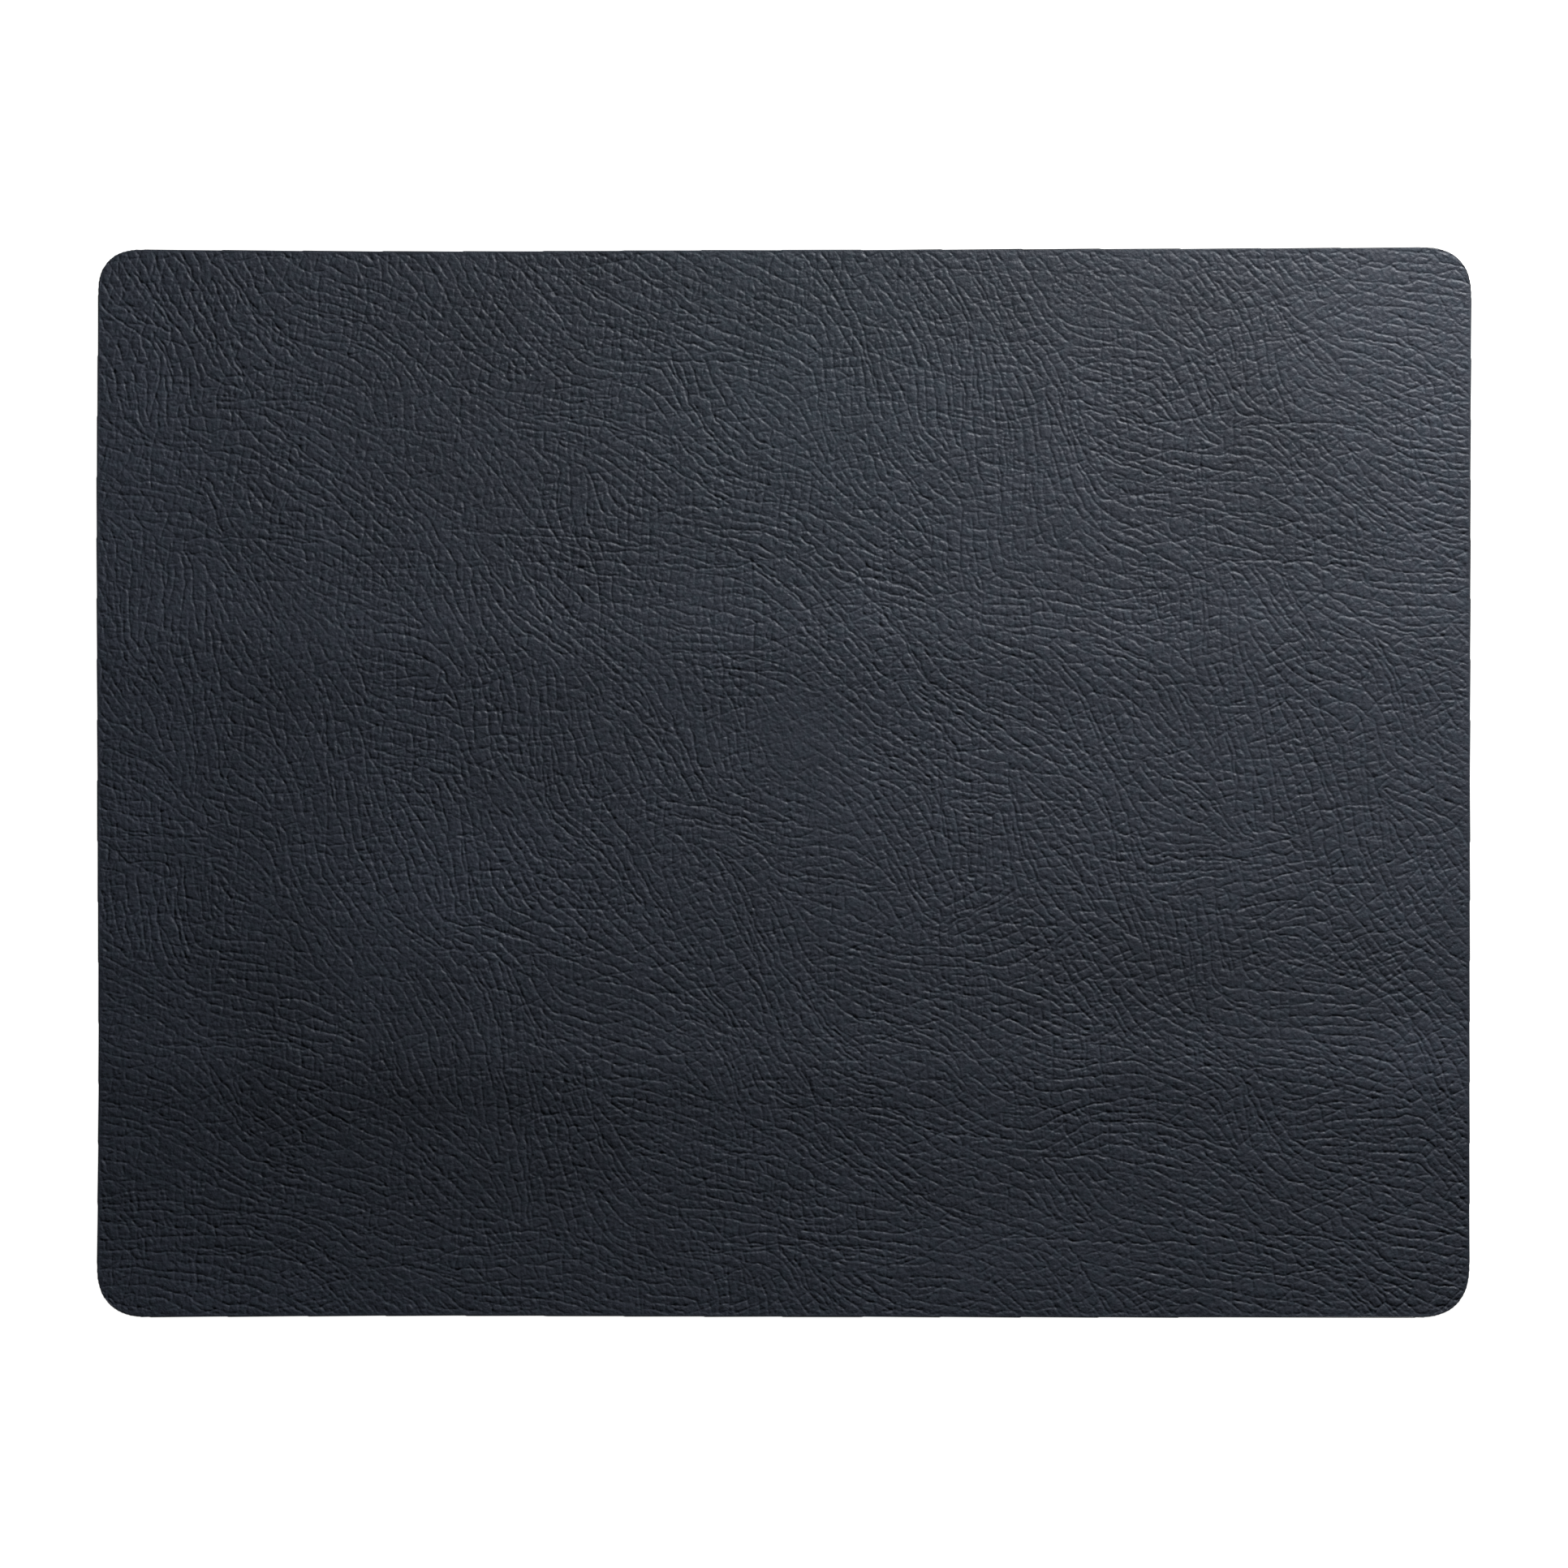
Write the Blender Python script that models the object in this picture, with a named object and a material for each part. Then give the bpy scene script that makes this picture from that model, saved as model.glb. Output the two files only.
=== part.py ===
"""A leather desk mat, built as the flat laminate that it is.

From the desk up lie a napped backing, an adhesive film, a thin fibre board, a second film and the leather
face. Edge paint seals the cut edge all round. The script works in metres with +Z up. The origin is on the
desk, under the middle of the mat. X runs along the long side and Y along the short side.
"""

import math

import bmesh
import bpy

MM = 0.001

# The cut size, in millimetres like every length below.
LENGTH = 450.0
WIDTH = 350.0

# Layer thicknesses, from the desk up, and the gap that keeps their faces apart.
BACKING = 0.50
FILM = 0.10
CORE = 0.50
LEATHER = 0.80
LAYER_GAP = 0.05

# The leather's upper edge is rounded where the edge paint meets it.
LEATHER_EDGE_ROUND = 0.25

# Edge paint: how deep it is, its gap to the layers, and how far it stops short of the two faces.
PAINT_DEPTH = 0.35
PAINT_GAP = 0.05
PAINT_ABOVE_DESK = 0.10
PAINT_BELOW_TOP = 0.15
PAINT_EDGE_ROUND = 0.20

# Each corner is a superellipse quarter, a little squarer than an arc: how far it reaches along both sides.
CORNER_POWER = 2.5
CORNER_REACH = {"right_back": 17.0, "left_back": 15.0, "left_front": 17.5, "right_front": 18.0}
CORNER_STEPS = 16
SIDE_STEPS = 16

# The sides were cut by hand. Each wanders outwards by these amounts at five even places along it, which run
# from front to back on the left and right sides, and from left to right on the front and back sides.
WANDER_LEFT = (0.1, -0.4, 0.0, 0.25, -0.35)
WANDER_RIGHT = (-0.35, -0.25, -0.1, 0.05, 0.3)
WANDER_FRONT = (0.0, -0.45, -0.1, 0.1, 0.1)
WANDER_BACK = (0.0, -0.55, -0.1, 0.3, 0.8)


def clear_scene():
    for thing in list(bpy.data.objects):
        bpy.data.objects.remove(thing, do_unlink=True)


def make_material(name, colour, roughness):
    material = bpy.data.materials.new(name)
    material.use_nodes = True
    shader = material.node_tree.nodes["Principled BSDF"]
    shader.inputs["Base Color"].default_value = (*colour, 1.0)
    shader.inputs["Roughness"].default_value = roughness
    shader.inputs["Metallic"].default_value = 0.0
    return material


def wander(amounts, share):
    """The amount at share, from 0 to 1 along a side, on a smooth curve through the five amounts."""
    place = min(max(share, 0.0), 1.0) * (len(amounts) - 1)
    before = min(int(place), len(amounts) - 2)
    blend = (1.0 - math.cos(math.pi * (place - before))) / 2.0
    return amounts[before] * (1.0 - blend) + amounts[before + 1] * blend


def moved_by_wander(x, y):
    """A point of the true rectangle, moved as the hand-cut sides move it."""
    along_x = x / LENGTH + 0.5
    along_y = y / WIDTH + 0.5
    left, right = wander(WANDER_LEFT, along_y), wander(WANDER_RIGHT, along_y)
    front, back = wander(WANDER_FRONT, along_x), wander(WANDER_BACK, along_x)
    return (
        x - left * (1.0 - along_x) + right * along_x,
        y - front * (1.0 - along_y) + back * along_y,
    )


def corner_points(side_x, side_y, reach):
    """One corner's points. The first is on its left or right side, the last on its front or back side."""
    points = []
    for step in range(CORNER_STEPS + 1):
        turn = math.pi / 2.0 * step / CORNER_STEPS
        along_x = reach * math.cos(turn) ** (2.0 / CORNER_POWER)
        along_y = reach * math.sin(turn) ** (2.0 / CORNER_POWER)
        points.append((side_x * (LENGTH / 2.0 - reach + along_x), side_y * (WIDTH / 2.0 - reach + along_y)))
    return points


def between(start, end):
    """The points of a straight side, without the two that its corners already have."""
    shares = [step / SIDE_STEPS for step in range(1, SIDE_STEPS)]
    return [tuple(a + (b - a) * share for a, b in zip(start, end)) for share in shares]


def cut_outline():
    """The mat's outline as cut, counter-clockwise from the right side, centred on its own box."""
    corners = [
        corner_points(1, 1, CORNER_REACH["right_back"]),
        corner_points(-1, 1, CORNER_REACH["left_back"])[::-1],
        corner_points(-1, -1, CORNER_REACH["left_front"]),
        corner_points(1, -1, CORNER_REACH["right_front"])[::-1],
    ]
    points = []
    for corner, following in zip(corners, corners[1:] + corners[:1]):
        points += corner + between(corner[-1], following[0])
    points = [moved_by_wander(x, y) for x, y in points]
    middle_x = (min(x for x, _ in points) + max(x for x, _ in points)) / 2.0
    middle_y = (min(y for _, y in points) + max(y for _, y in points)) / 2.0
    return [(x - middle_x, y - middle_y) for x, y in points]


def inset(points, depth):
    """The outline moved inwards by depth, each point along the inward normal of its two neighbours."""
    moved = []
    for index, (x, y) in enumerate(points):
        (before_x, before_y) = points[index - 1]
        (after_x, after_y) = points[(index + 1) % len(points)]
        run_x, run_y = after_x - before_x, after_y - before_y
        length = math.hypot(run_x, run_y)
        moved.append((x - run_y / length * depth, y + run_x / length * depth))
    return moved


def edge_loop(bm, points, height):
    """A closed loop of edges through the points at one height. Returns its vertices and edges."""
    verts = [bm.verts.new((x * MM, y * MM, height * MM)) for x, y in points]
    edges = [bm.edges.new(pair) for pair in zip(verts, verts[1:] + verts[:1])]
    return verts, edges


def raise_faces(bm, faces, rise):
    """Extrudes flat faces straight up by rise, which closes them into a solid. Returns the new vertices."""
    raised = bmesh.ops.extrude_face_region(bm, geom=faces)
    verts = [item for item in raised["geom"] if isinstance(item, bmesh.types.BMVert)]
    bmesh.ops.translate(bm, verts=verts, vec=(0.0, 0.0, rise * MM))
    return verts


def round_edges(bm, edges, radius):
    bmesh.ops.bevel(bm, geom=edges, offset=radius * MM, segments=2, profile=0.5, affect="EDGES")


def finish_object(bm, name, material):
    bmesh.ops.recalc_face_normals(bm, faces=bm.faces[:])
    mesh = bpy.data.meshes.new(name)
    bm.to_mesh(mesh)
    bm.free()
    mesh.materials.append(material)
    mesh.shade_smooth()
    mesh.set_sharp_from_angle(angle=math.radians(50.0))
    thing = bpy.data.objects.new(name, mesh)
    bpy.context.scene.collection.objects.link(thing)
    return thing


def make_layer(name, outline, bottom, thickness, material, top_round=0.0):
    """One flat layer of the laminate, with its upper edge rounded where top_round is given."""
    bm = bmesh.new()
    verts, _ = edge_loop(bm, outline, bottom)
    raised = set(raise_faces(bm, [bm.faces.new(verts)], thickness))
    if top_round:
        round_edges(bm, [edge for edge in bm.edges if raised.issuperset(edge.verts)], top_round)
    return finish_object(bm, name, material)


def make_edge_paint(outline, bottom, top, material):
    """A closed ring round the laminate, with its two outer edges rounded."""
    bm = bmesh.new()
    outer_verts, outer_edges = edge_loop(bm, outline, bottom)
    _, inner_edges = edge_loop(bm, inset(outline, PAINT_DEPTH), bottom)
    ring = bmesh.ops.bridge_loops(bm, edges=outer_edges + inner_edges)["faces"]
    raise_faces(bm, ring, top - bottom)
    outer_places = {(vert.co.x, vert.co.y) for vert in outer_verts}
    outer = {vert for vert in bm.verts if (vert.co.x, vert.co.y) in outer_places}
    flat_edges = [
        edge for edge in bm.edges if outer.issuperset(edge.verts) and edge.verts[0].co.z == edge.verts[1].co.z
    ]
    round_edges(bm, flat_edges, PAINT_EDGE_ROUND)
    return finish_object(bm, "edge_paint", material)


def make_mat():
    leather = make_material("leather", (0.030, 0.035, 0.045), 0.45)
    backing = make_material("microfibre", (0.035, 0.036, 0.040), 0.95)
    board = make_material("fibre_board", (0.26, 0.17, 0.10), 0.85)
    adhesive = make_material("adhesive", (0.55, 0.46, 0.28), 0.55)
    paint = make_material("edge_paint", (0.008, 0.009, 0.012), 0.40)

    outline = cut_outline()
    layer_outline = inset(outline, PAINT_DEPTH + PAINT_GAP)
    layers = [
        ("nonslip_backing", BACKING, backing, 0.0),
        ("backing_adhesive", FILM, adhesive, 0.0),
        ("fibre_core", CORE, board, 0.0),
        ("face_adhesive", FILM, adhesive, 0.0),
        ("leather_face", LEATHER, leather, LEATHER_EDGE_ROUND),
    ]
    height = 0.0
    for name, thickness, material, top_round in layers:
        make_layer(name, layer_outline, height, thickness, material, top_round)
        height += thickness + LAYER_GAP
    top = height - LAYER_GAP
    make_edge_paint(outline, PAINT_ABOVE_DESK, top - PAINT_BELOW_TOP, paint)


clear_scene()
make_mat()
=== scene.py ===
"""The looks of the leather desk mat, built around its CAD frame.

The leather face is one fine mesh whose relief is an embossed wrinkle grain. The main creases are listed one
by one and repeat as the embossing roller does. Finer creases are then grown between them, along and across
their flow. All of them are pressed into the mesh, together with a net of small cells. The edge paint and the
napped backing get meshes of their own. The layers inside keep their CAD shapes. Lengths are in millimetres
until a mesh or a light is made, and the origin is on the desk, under the middle of the mat.
"""

import math

import bpy
import numpy as np
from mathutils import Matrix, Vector


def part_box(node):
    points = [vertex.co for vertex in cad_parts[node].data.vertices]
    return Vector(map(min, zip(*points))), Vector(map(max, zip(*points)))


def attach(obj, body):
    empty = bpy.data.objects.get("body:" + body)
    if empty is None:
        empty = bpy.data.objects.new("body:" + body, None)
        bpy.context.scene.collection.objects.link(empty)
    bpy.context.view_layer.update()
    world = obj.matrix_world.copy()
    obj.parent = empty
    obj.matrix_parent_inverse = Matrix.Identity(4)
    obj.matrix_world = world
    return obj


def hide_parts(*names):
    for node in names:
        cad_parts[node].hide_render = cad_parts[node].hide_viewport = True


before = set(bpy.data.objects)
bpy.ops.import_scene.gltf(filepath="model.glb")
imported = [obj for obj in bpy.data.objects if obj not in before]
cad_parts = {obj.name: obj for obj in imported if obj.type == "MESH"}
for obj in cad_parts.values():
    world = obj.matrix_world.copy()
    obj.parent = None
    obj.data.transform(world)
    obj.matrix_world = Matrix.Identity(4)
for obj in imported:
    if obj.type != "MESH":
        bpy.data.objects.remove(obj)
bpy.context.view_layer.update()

MM = 0.001

# The camera looks straight down, a little off the middle of the mat.
CAMERA_AT = (0.03, -0.53)
CAMERA_LENS = 85.0
SENSOR_WIDTH = 36.0
VIEW_WIDTH = 512.9

# The grain is worked out over an area a little larger than the mat.
HALF_X = 229.0
HALF_Y = 179.0
FLOW_PITCH = 2.0
OWNER_PITCH = 0.4
RELIEF_PITCH = 0.2
CREASE_STEP = 0.5

# Each crease is a narrow cut in a wider valley. The valley leans: it is moved by these cells of the relief,
# to the right and back, so that its front is steep and its back is gentle.
CUT_DEPTH = 0.40
CUT_SPREAD = 0.12
VALLEY_DEPTH = 0.135
VALLEY_SPREAD = 0.42
VALLEY_LEAN = (1, 2)

# The creases kink a little: how far, and how long the kinks are.
KINK = 0.18
KINK_SIZE = 1.0

# Between the creases lie pebbles, with a net of hair-fine wrinkles round them.
PEBBLE_DEPTH = 0.042
PEBBLE_SIZE = 0.30
WRINKLE_DEPTH = 0.02
WRINKLE_SIZE = 0.60
WRINKLE_WIDTH = 0.30

# However many creases cross, they go no deeper than this.
DEEPEST = 0.56

# The cobbled cells between the creases: their size, the tilt of their rows, how far their seeds stray and how
# far their rows wander, and the depth of the lines between them and of the cells' own roundness.
CELL_SIZE = 2.9
CELL_TILT = -6.0
CELL_STRAY = 0.27
CELL_WANDER = 2.2
CELL_LINE_DEPTH = 0.17
CELL_LINE_WIDTH = 0.10
CELL_ROUNDNESS = 0.08

# One patch of the hide is smoother than the rest: its middle, its reach and how much of the grain it keeps.
SMOOTH_PATCH = (2.0, 17.0)
SMOOTH_REACH = 15.0
SMOOTH_KEEPS = 0.35

# How much more strongly the grain is pressed towards the right side, the back, and the corner between them.
STRONGER = (0.12, -0.02, -0.16)

# Two soft folds cross the mat from side to side. Each has its place, its spread and its
# height. They fade out this near the rim.
FOLDS = ((42.0, 11.0, 0.40), (-95.0, 9.0, 0.35))
FOLD_FADE = 9.0

# The whole mat swells and sinks a little: how far, and over what distance.
SWELL = 0.04
SWELL_SIZE = 25.0

# At its rim the leather drops a little, and the grain fades out.
RIM_DROP = 0.10
RIM_DROP_REACH = 0.8
RIM_FADE = 0.7

# Painted light and shade: soft patches make the base colour lighter or darker where broad light and shade
# fall on the mat. Each soft patch has its middle, its reach along x and y, and how much lighter it is.
PAINTED_LIGHT_AND_SHADE_PATCHES = (
    (0, 54, 260, 6, 0.05), (-100, 27, 75, 12, -0.07), (-10, -86, 260, 6, 0.05),
    (-140, -106, 45, 14, -0.12), (40, -104, 110, 7, -0.04), (-111, -34, 26, 18, 0.18),
    (130, -60, 30, 12, -0.14), (165, 100, 17, 26, -0.15), (-112, 148, 20, 32, -0.09),
    (204, -90, 22, 9, 0.13), (208, 150, 26, 20, 0.11), (-208, 112, 16, 25, 0.09),
    (0, 125, 36, 24, 0.06), (-170, -60, 16, 22, -0.09), (70, 8, 50, 16, 0.05),
    (80, -130, 80, 8, -0.06), (30, -150, 90, 9, 0.05), (-205, -170, 60, 12, 0.16),
    (20, -172, 180, 7, 0.08), (30, 165, 110, 18, -0.14), (140, 158, 24, 16, -0.05),
    (-60, 100, 60, 26, -0.06), (110, -125, 100, 24, 0.07), (214, 10, 14, 60, 0.06),
    (212, -94, 14, 9, 0.17), (-90, 0, 25, 9, -0.10), (-68, -126, 18, 10, -0.11),
    (-130, -104, 60, 28, -0.11), (-212, 50, 14, 100, 0.07), (90, -10, 60, 28, 0.05),
    (40, 135, 110, 40, -0.06), (-68, 150, 30, 24, -0.06), (-170, 0, 16, 40, -0.06),
    (205, -158, 22, 18, 0.08), (60, -60, 110, 14, -0.03), (-68, 63, 20, 14, -0.05),
    (-50, 2, 36, 16, -0.05), (138, 148, 20, 26, -0.07), (70, -160, 45, 12, 0.05),
    (212, -31, 12, 12, 0.10), (135, 108, 42, 36, -0.08), (50, 158, 42, 22, -0.06),
    (206, 160, 20, 20, -0.06), (-212, 0, 14, 120, 0.05), (-206, -94, 18, 12, 0.06),
    (-200, -160, 24, 18, 0.05), (-66, 75, 22, 30, -0.04), (75, -158, 40, 12, 0.05),
    (150, -33, 60, 14, 0.05), (185, -94, 35, 10, 0.05), (170, 120, 80, 70, 0.05),
    (195, 0, 36, 150, 0.04),
)

# The leather's mesh: the size of its quads, and its rounded upper edge.
QUAD = 0.30
CORNER_ZONE = 17.0
EDGE_ROUND = 0.25
EDGE_RINGS = 3

# The embossing roller prints the same creases again at these offsets.
REPEATS = ((0.0, 0.0), (340.0, -7.5), (185.0, -231.0), (-155.0, -224.0))

# The main creases, each a few points along it.
MAIN_CREASES = (
    # Back left.
    ((-199, 172), (-191, 161), (-186, 150)), ((-187, 170), (-179, 161), (-170, 148), (-158, 137)),
    ((-181, 167), (-171, 152), (-158, 141)), ((-213, 167), (-204, 156), (-200, 149)),
    ((-219, 157), (-212, 152), (-200, 147)), ((-207, 147), (-202, 138), (-200, 128)),
    ((-180, 139), (-177, 132), (-174, 125)), ((-170, 137), (-162, 134), (-151, 130)),
    ((-160, 154), (-148, 152), (-135, 150)), ((-156, 149), (-145, 146), (-132, 142), (-127, 136)),
    ((-135, 150), (-124, 141), (-110, 130), (-100, 127)),
    ((-190, 124), (-173, 125), (-152, 124), (-136, 117), (-110, 114)),
    ((-179, 121), (-170, 110), (-155, 100), (-143, 90)), ((-170, 120), (-152, 104), (-133, 91), (-120, 85)),
    ((-213, 113), (-200, 110), (-188, 109)), ((-212, 99), (-200, 97), (-190, 94)),
    ((-200, 79), (-180, 80), (-152, 78)), ((-186, 79), (-178, 66), (-169, 54)),
    ((-178, 76), (-170, 62), (-165, 52)), ((-163, 70), (-150, 61), (-132, 56)),
    ((-204, 74), (-203, 62), (-203, 50)),
    # Back middle.
    ((-84, 166), (-76, 156), (-70, 147)), ((-70, 165), (-57, 158), (-44, 150)),
    ((-62, 150), (-50, 146), (-41, 140)), ((-50, 138), (-30, 137.5), (-10, 137.5)),
    ((-22, 143), (-8, 140), (5, 134)), ((-37, 140), (-32, 127), (-24, 113), (-18, 107)),
    ((-26, 128), (-22, 118), (-15, 111)), ((-82, 120), (-62, 119), (-50, 115), (-36, 110)),
    ((-48, 110), (-32, 100), (-18, 91)), ((-31, 110), (-20, 101), (-4, 97)),
    ((-101, 109), (-93, 99), (-81, 84)), ((-112, 83), (-90, 81), (-60, 80)),
    ((-102, 78), (-95, 67), (-88, 57)), ((-92, 80), (-84, 66), (-76, 52)), ((-40, 72), (-22, 70), (-8, 72)),
    ((-20, 78), (-8, 70), (3, 62), (14, 50)), ((-30, 83), (-8, 82), (6, 77)),
    # Back right.
    ((31, 163), (38, 154), (46, 142), (49, 130)), ((42, 165), (52, 150), (57, 137), (60, 122)),
    ((50, 165), (58, 155), (62, 140), (64, 124)), ((62, 167), (69, 153), (75, 140), (85, 132)),
    ((20, 152), (26, 141), (30, 128)), ((89, 130), (92, 118), (97, 104), (104, 92)),
    ((96, 122), (108, 120), (118, 117)), ((100, 109), (110, 104), (120, 101)),
    ((31, 110), (40, 99), (50, 90)), ((40, 110), (50, 103), (60, 96)), ((70, 112), (71, 97), (71, 80)),
    ((5, 81), (18, 70), (36, 65), (50, 60)), ((0, 75), (10, 64), (20, 52), (30, 41)),
    # Front left.
    ((-169, 38), (-163, 27), (-158, 17)), ((-170, 21), (-163, 8), (-158, -5), (-157, -12)),
    ((-213, 40), (-205, 30), (-199, 20)), ((-195, 27), (-192, 12), (-193, -4)),
    ((-215, 10), (-205, 5), (-193, -8)), ((-217, -17), (-200, -18), (-188, -18)),
    ((-199, -28), (-198, -42), (-194, -56)), ((-209, -38), (-207, -50), (-208, -60)),
    ((-150, 22), (-149, 2), (-146, -12)), ((-147, 57), (-141, 42), (-136, 28)),
    ((-137, -27), (-128, -43), (-114, -54)), ((-156, -40), (-147, -52), (-140, -60)),
    ((-119, -18), (-110, -31), (-107, -44)),
    # Front middle.
    ((-101, 43), (-93, 33), (-92, 15)), ((-84, 31), (-83, 20), (-85, 8)),
    ((-80, 30), (-79, 5), (-75, -12), (-59, -24), (-51, -36)), ((-92, 10), (-85, 2), (-79, 0)),
    ((-90, 57), (-79, 49), (-68, 41)), ((-60, 43), (-48, 33), (-41, 20), (-38, 8)),
    ((-57, 27), (-44, 18), (-35, 5), (-29, -6)), ((-37, 20), (-31, 8), (-24, -7)),
    ((-39, 42), (-25, 42.5), (-7, 41)), ((-37, 52), (-28, 49), (-18, 47)),
    ((-40, -6), (-22, -9), (-2, -17)), ((-38, -11), (-20, -14), (-6, -18)),
    ((-16, -17), (-7, -24), (0, -30), (14, -31), (30, -34)), ((-22, -23), (-15, -35), (-9, -48), (-2, -60)),
    ((-20, -37), (-13, -47), (-8, -60)), ((-50, -24), (-44, -36), (-38, -44)),
    ((-106, -19), (-104, -30), (-102, -43)), ((-53, 18), (-50, 8), (-46, 0)),
    ((-72, 22), (-69, 14), (-68, 4)), ((-110, -46), (-95, -48), (-80, -53)),
    # Front right.
    ((30, 57), (39, 48), (48, 33), (60, 26), (72, 20)), ((44, 30), (56, 23), (68, 15)),
    ((46, 25), (53, 16), (58, 8)), ((66, 25), (80, 19), (92, 12), (102, 2)), ((68, 20), (80, 11), (92, 5)),
    ((20, 17), (30, 10), (42, 6), (49, -1)), ((24, 8), (36, 4), (46, -3), (49, -12)),
    ((90, 39), (98, 28), (104, 15), (110, 4)), ((73, 6), (75, -8), (80, -26), (90, -41), (103, -52)),
    ((52, -7), (62, -5), (74, -5)), ((20, -21), (30, -27), (39, -37)), ((29, -11), (37, -24), (43, -36)),
    ((88, -21), (97, -32), (103, -44)), ((104, -4), (108, -18), (110, -36)),
    ((52, -48), (64, -42), (76, -36)), ((82, -60), (90, -53), (97, -46)), ((100, 46), (110, 43), (122, 38)),
    ((50, 4), (51, -8), (53, -20)),
)

# How the grain runs in between, as judged: places on the mat, and the angle of the creases there in
# degrees. Each counts for this many steps of a main crease.
ZONES = (
    (-190, 160, -55), (-172, 146, -45), (-205, 125, -85), (-180, 115, -10), (-150, 143, -22),
    (-112, 132, -48), (-126, 122, -88), (-150, 105, -40), (-128, 88, -40), (-182, 88, -75),
    (-175, 65, -60), (-203, 60, -84), (-118, 75, -60), (-104, 58, -66), (-60, 116, -15),
    (-28, 112, -48), (-30, 132, -76), (-72, 90, -86), (-82, 68, -50), (-42, 75, -5),
    (-8, 70, -28), (-130, 40, -2), (-122, 20, -6), (-94, 25, -84), (-75, 20, -86),
    (-60, 8, -64), (-36, 30, -60), (-22, 14, -76), (-196, 20, -85), (-170, 20, -10),
    (-160, 36, -56), (-186, -10, -22), (-150, -10, -84), (-138, -38, -52), (-110, -26, -80),
    (-86, -26, -60), (-22, -10, -26), (-32, -30, -60), (-6, -46, -64), (-22, -74, -45),
    (-182, -58, -3), (-170, -75, -6), (-150, -90, -15), (-102, -70, -66), (-62, -76, -20),
    (-192, -104, -30), (-168, -112, -36), (-132, -120, -20), (-110, -132, -44), (-88, -125, -76),
    (-62, -116, -70), (-30, -115, -25), (-10, -122, -20), (-190, -145, -5), (-152, -138, -12),
    (-140, -160, -40), (-92, -155, 0), (-32, -156, -4), (-80, 150, -45), (-50, 155, -30),
    (-8, 152, -20), (-100, 165, -60), (20, 130, -80), (40, 142, -75), (56, 130, -85),
    (30, 108, -60), (80, 130, -60), (110, 140, 0), (120, 160, -45), (136, 130, -60),
    (156, 140, -80), (176, 146, -45), (202, 152, -10), (210, 130, -4), (110, 110, -25),
    (120, 94, -20), (142, 90, -10), (30, 85, -30), (20, 70, -50), (60, 80, -82),
    (80, 60, -10), (124, 76, -40), (120, 60, 8), (140, 60, -85), (166, 66, -60),
    (190, 70, -15), (210, 60, -4), (40, 40, -50), (60, 20, -30), (40, 8, -40),
    (110, 40, -30), (100, 20, -60), (88, 0, -45), (132, 10, -30), (150, 20, -80),
    (180, 30, -20), (175, 0, -65), (202, 0, -18), (30, -15, -60), (8, -26, -5),
    (40, -32, -65), (62, 0, 0), (70, -22, -86), (85, -20, -60), (110, -26, -80),
    (130, -25, 0), (160, -30, 15), (192, -30, -60), (20, -60, -10), (50, -65, -5),
    (4, -76, -60), (20, -86, -30), (80, -80, -20), (100, -60, -60), (125, -60, -80),
    (150, -76, -5), (182, -76, -4), (102, -95, 5), (130, -106, -20), (150, -110, -76),
    (172, -110, 15), (192, -116, 5), (20, -116, -20), (60, -120, -30), (92, -116, 30),
    (92, -132, -50), (30, -140, -15), (62, -140, -15), (120, -130, -15), (160, -130, -40),
    (192, -135, -15), (50, -160, -5), (100, -160, -10), (150, -156, 0), (202, -156, -5),
)
ZONE_WEIGHT = 90

# How far each direction spreads, and how much it counts at that distance.
FLOW_REACHES = ((5.0, 1.0), (9.0, 0.5), (30.0, 0.03))

# The dye is bluer round one place on the left and greener round another at the back: middles and reaches.
COLD_PLACE = (-120, -5)
COLD_REACH = (110, 75)
GREEN_PLACE = (3, 148)
GREEN_REACH = (55, 80)

# The edge paint's lip and its outer face waver a little: how far, and the length of the waves.
LIP_WAVER = (0.03, 6.0)
BULGE_WAVER = (0.015, 12.0)

# The light stands at the back right, in metres and watts. The surround is weak and even.
KEY_PLACE = (0.42, 0.70, 0.34)
KEY_SIZE = 0.26
KEY_POWER = 21.8
SURROUND = 0.03


# ---------------------------------------------------------------- fields over the mat


def field_shape(pitch):
    return int(2 * HALF_Y / pitch) + 1, int(2 * HALF_X / pitch) + 1


def blurred(field, spread):
    """A Gaussian blur of a field, by spread cells, with mirrored edges."""
    pad = min(int(4 * spread) + 1, min(field.shape) - 1)
    wide = np.pad(field, pad, mode="symmetric")
    down = np.fft.fftfreq(wide.shape[0])[:, None]
    across = np.fft.rfftfreq(wide.shape[1])[None, :]
    gain = np.exp(-2.0 * (math.pi * spread) ** 2 * (down**2 + across**2))
    return np.fft.irfft2(np.fft.rfft2(wide) * gain, s=wide.shape)[pad:-pad, pad:-pad]


def smooth_noise(rng, pitch, size):
    """Soft random hills and hollows of about this size, with a standard deviation of 1."""
    hills = blurred(rng.standard_normal(field_shape(pitch)), size / pitch)
    return hills / hills.std()


def sampled(field, pitch, x, y):
    """The field at the points x, y, between its cells too."""
    column = np.clip((x + HALF_X) / pitch, 0, field.shape[1] - 1.001)
    row = np.clip((y + HALF_Y) / pitch, 0, field.shape[0] - 1.001)
    left, low = column.astype(int), row.astype(int)
    right_share, high_share = column - left, row - low
    lower = field[low, left] * (1 - right_share) + field[low, left + 1] * right_share
    upper = field[low + 1, left] * (1 - right_share) + field[low + 1, left + 1] * right_share
    return lower * (1 - high_share) + upper * high_share


# ---------------------------------------------------------------- the creases


def length_along(line):
    """How far along the line each of its points lies."""
    return np.concatenate([[0.0], np.cumsum(np.hypot(*np.diff(line, axis=0).T))])


def points_at(places, run, line):
    """The points at these lengths along the line."""
    return np.stack([np.interp(places, run, line[:, 0]), np.interp(places, run, line[:, 1])], axis=1)


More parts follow.
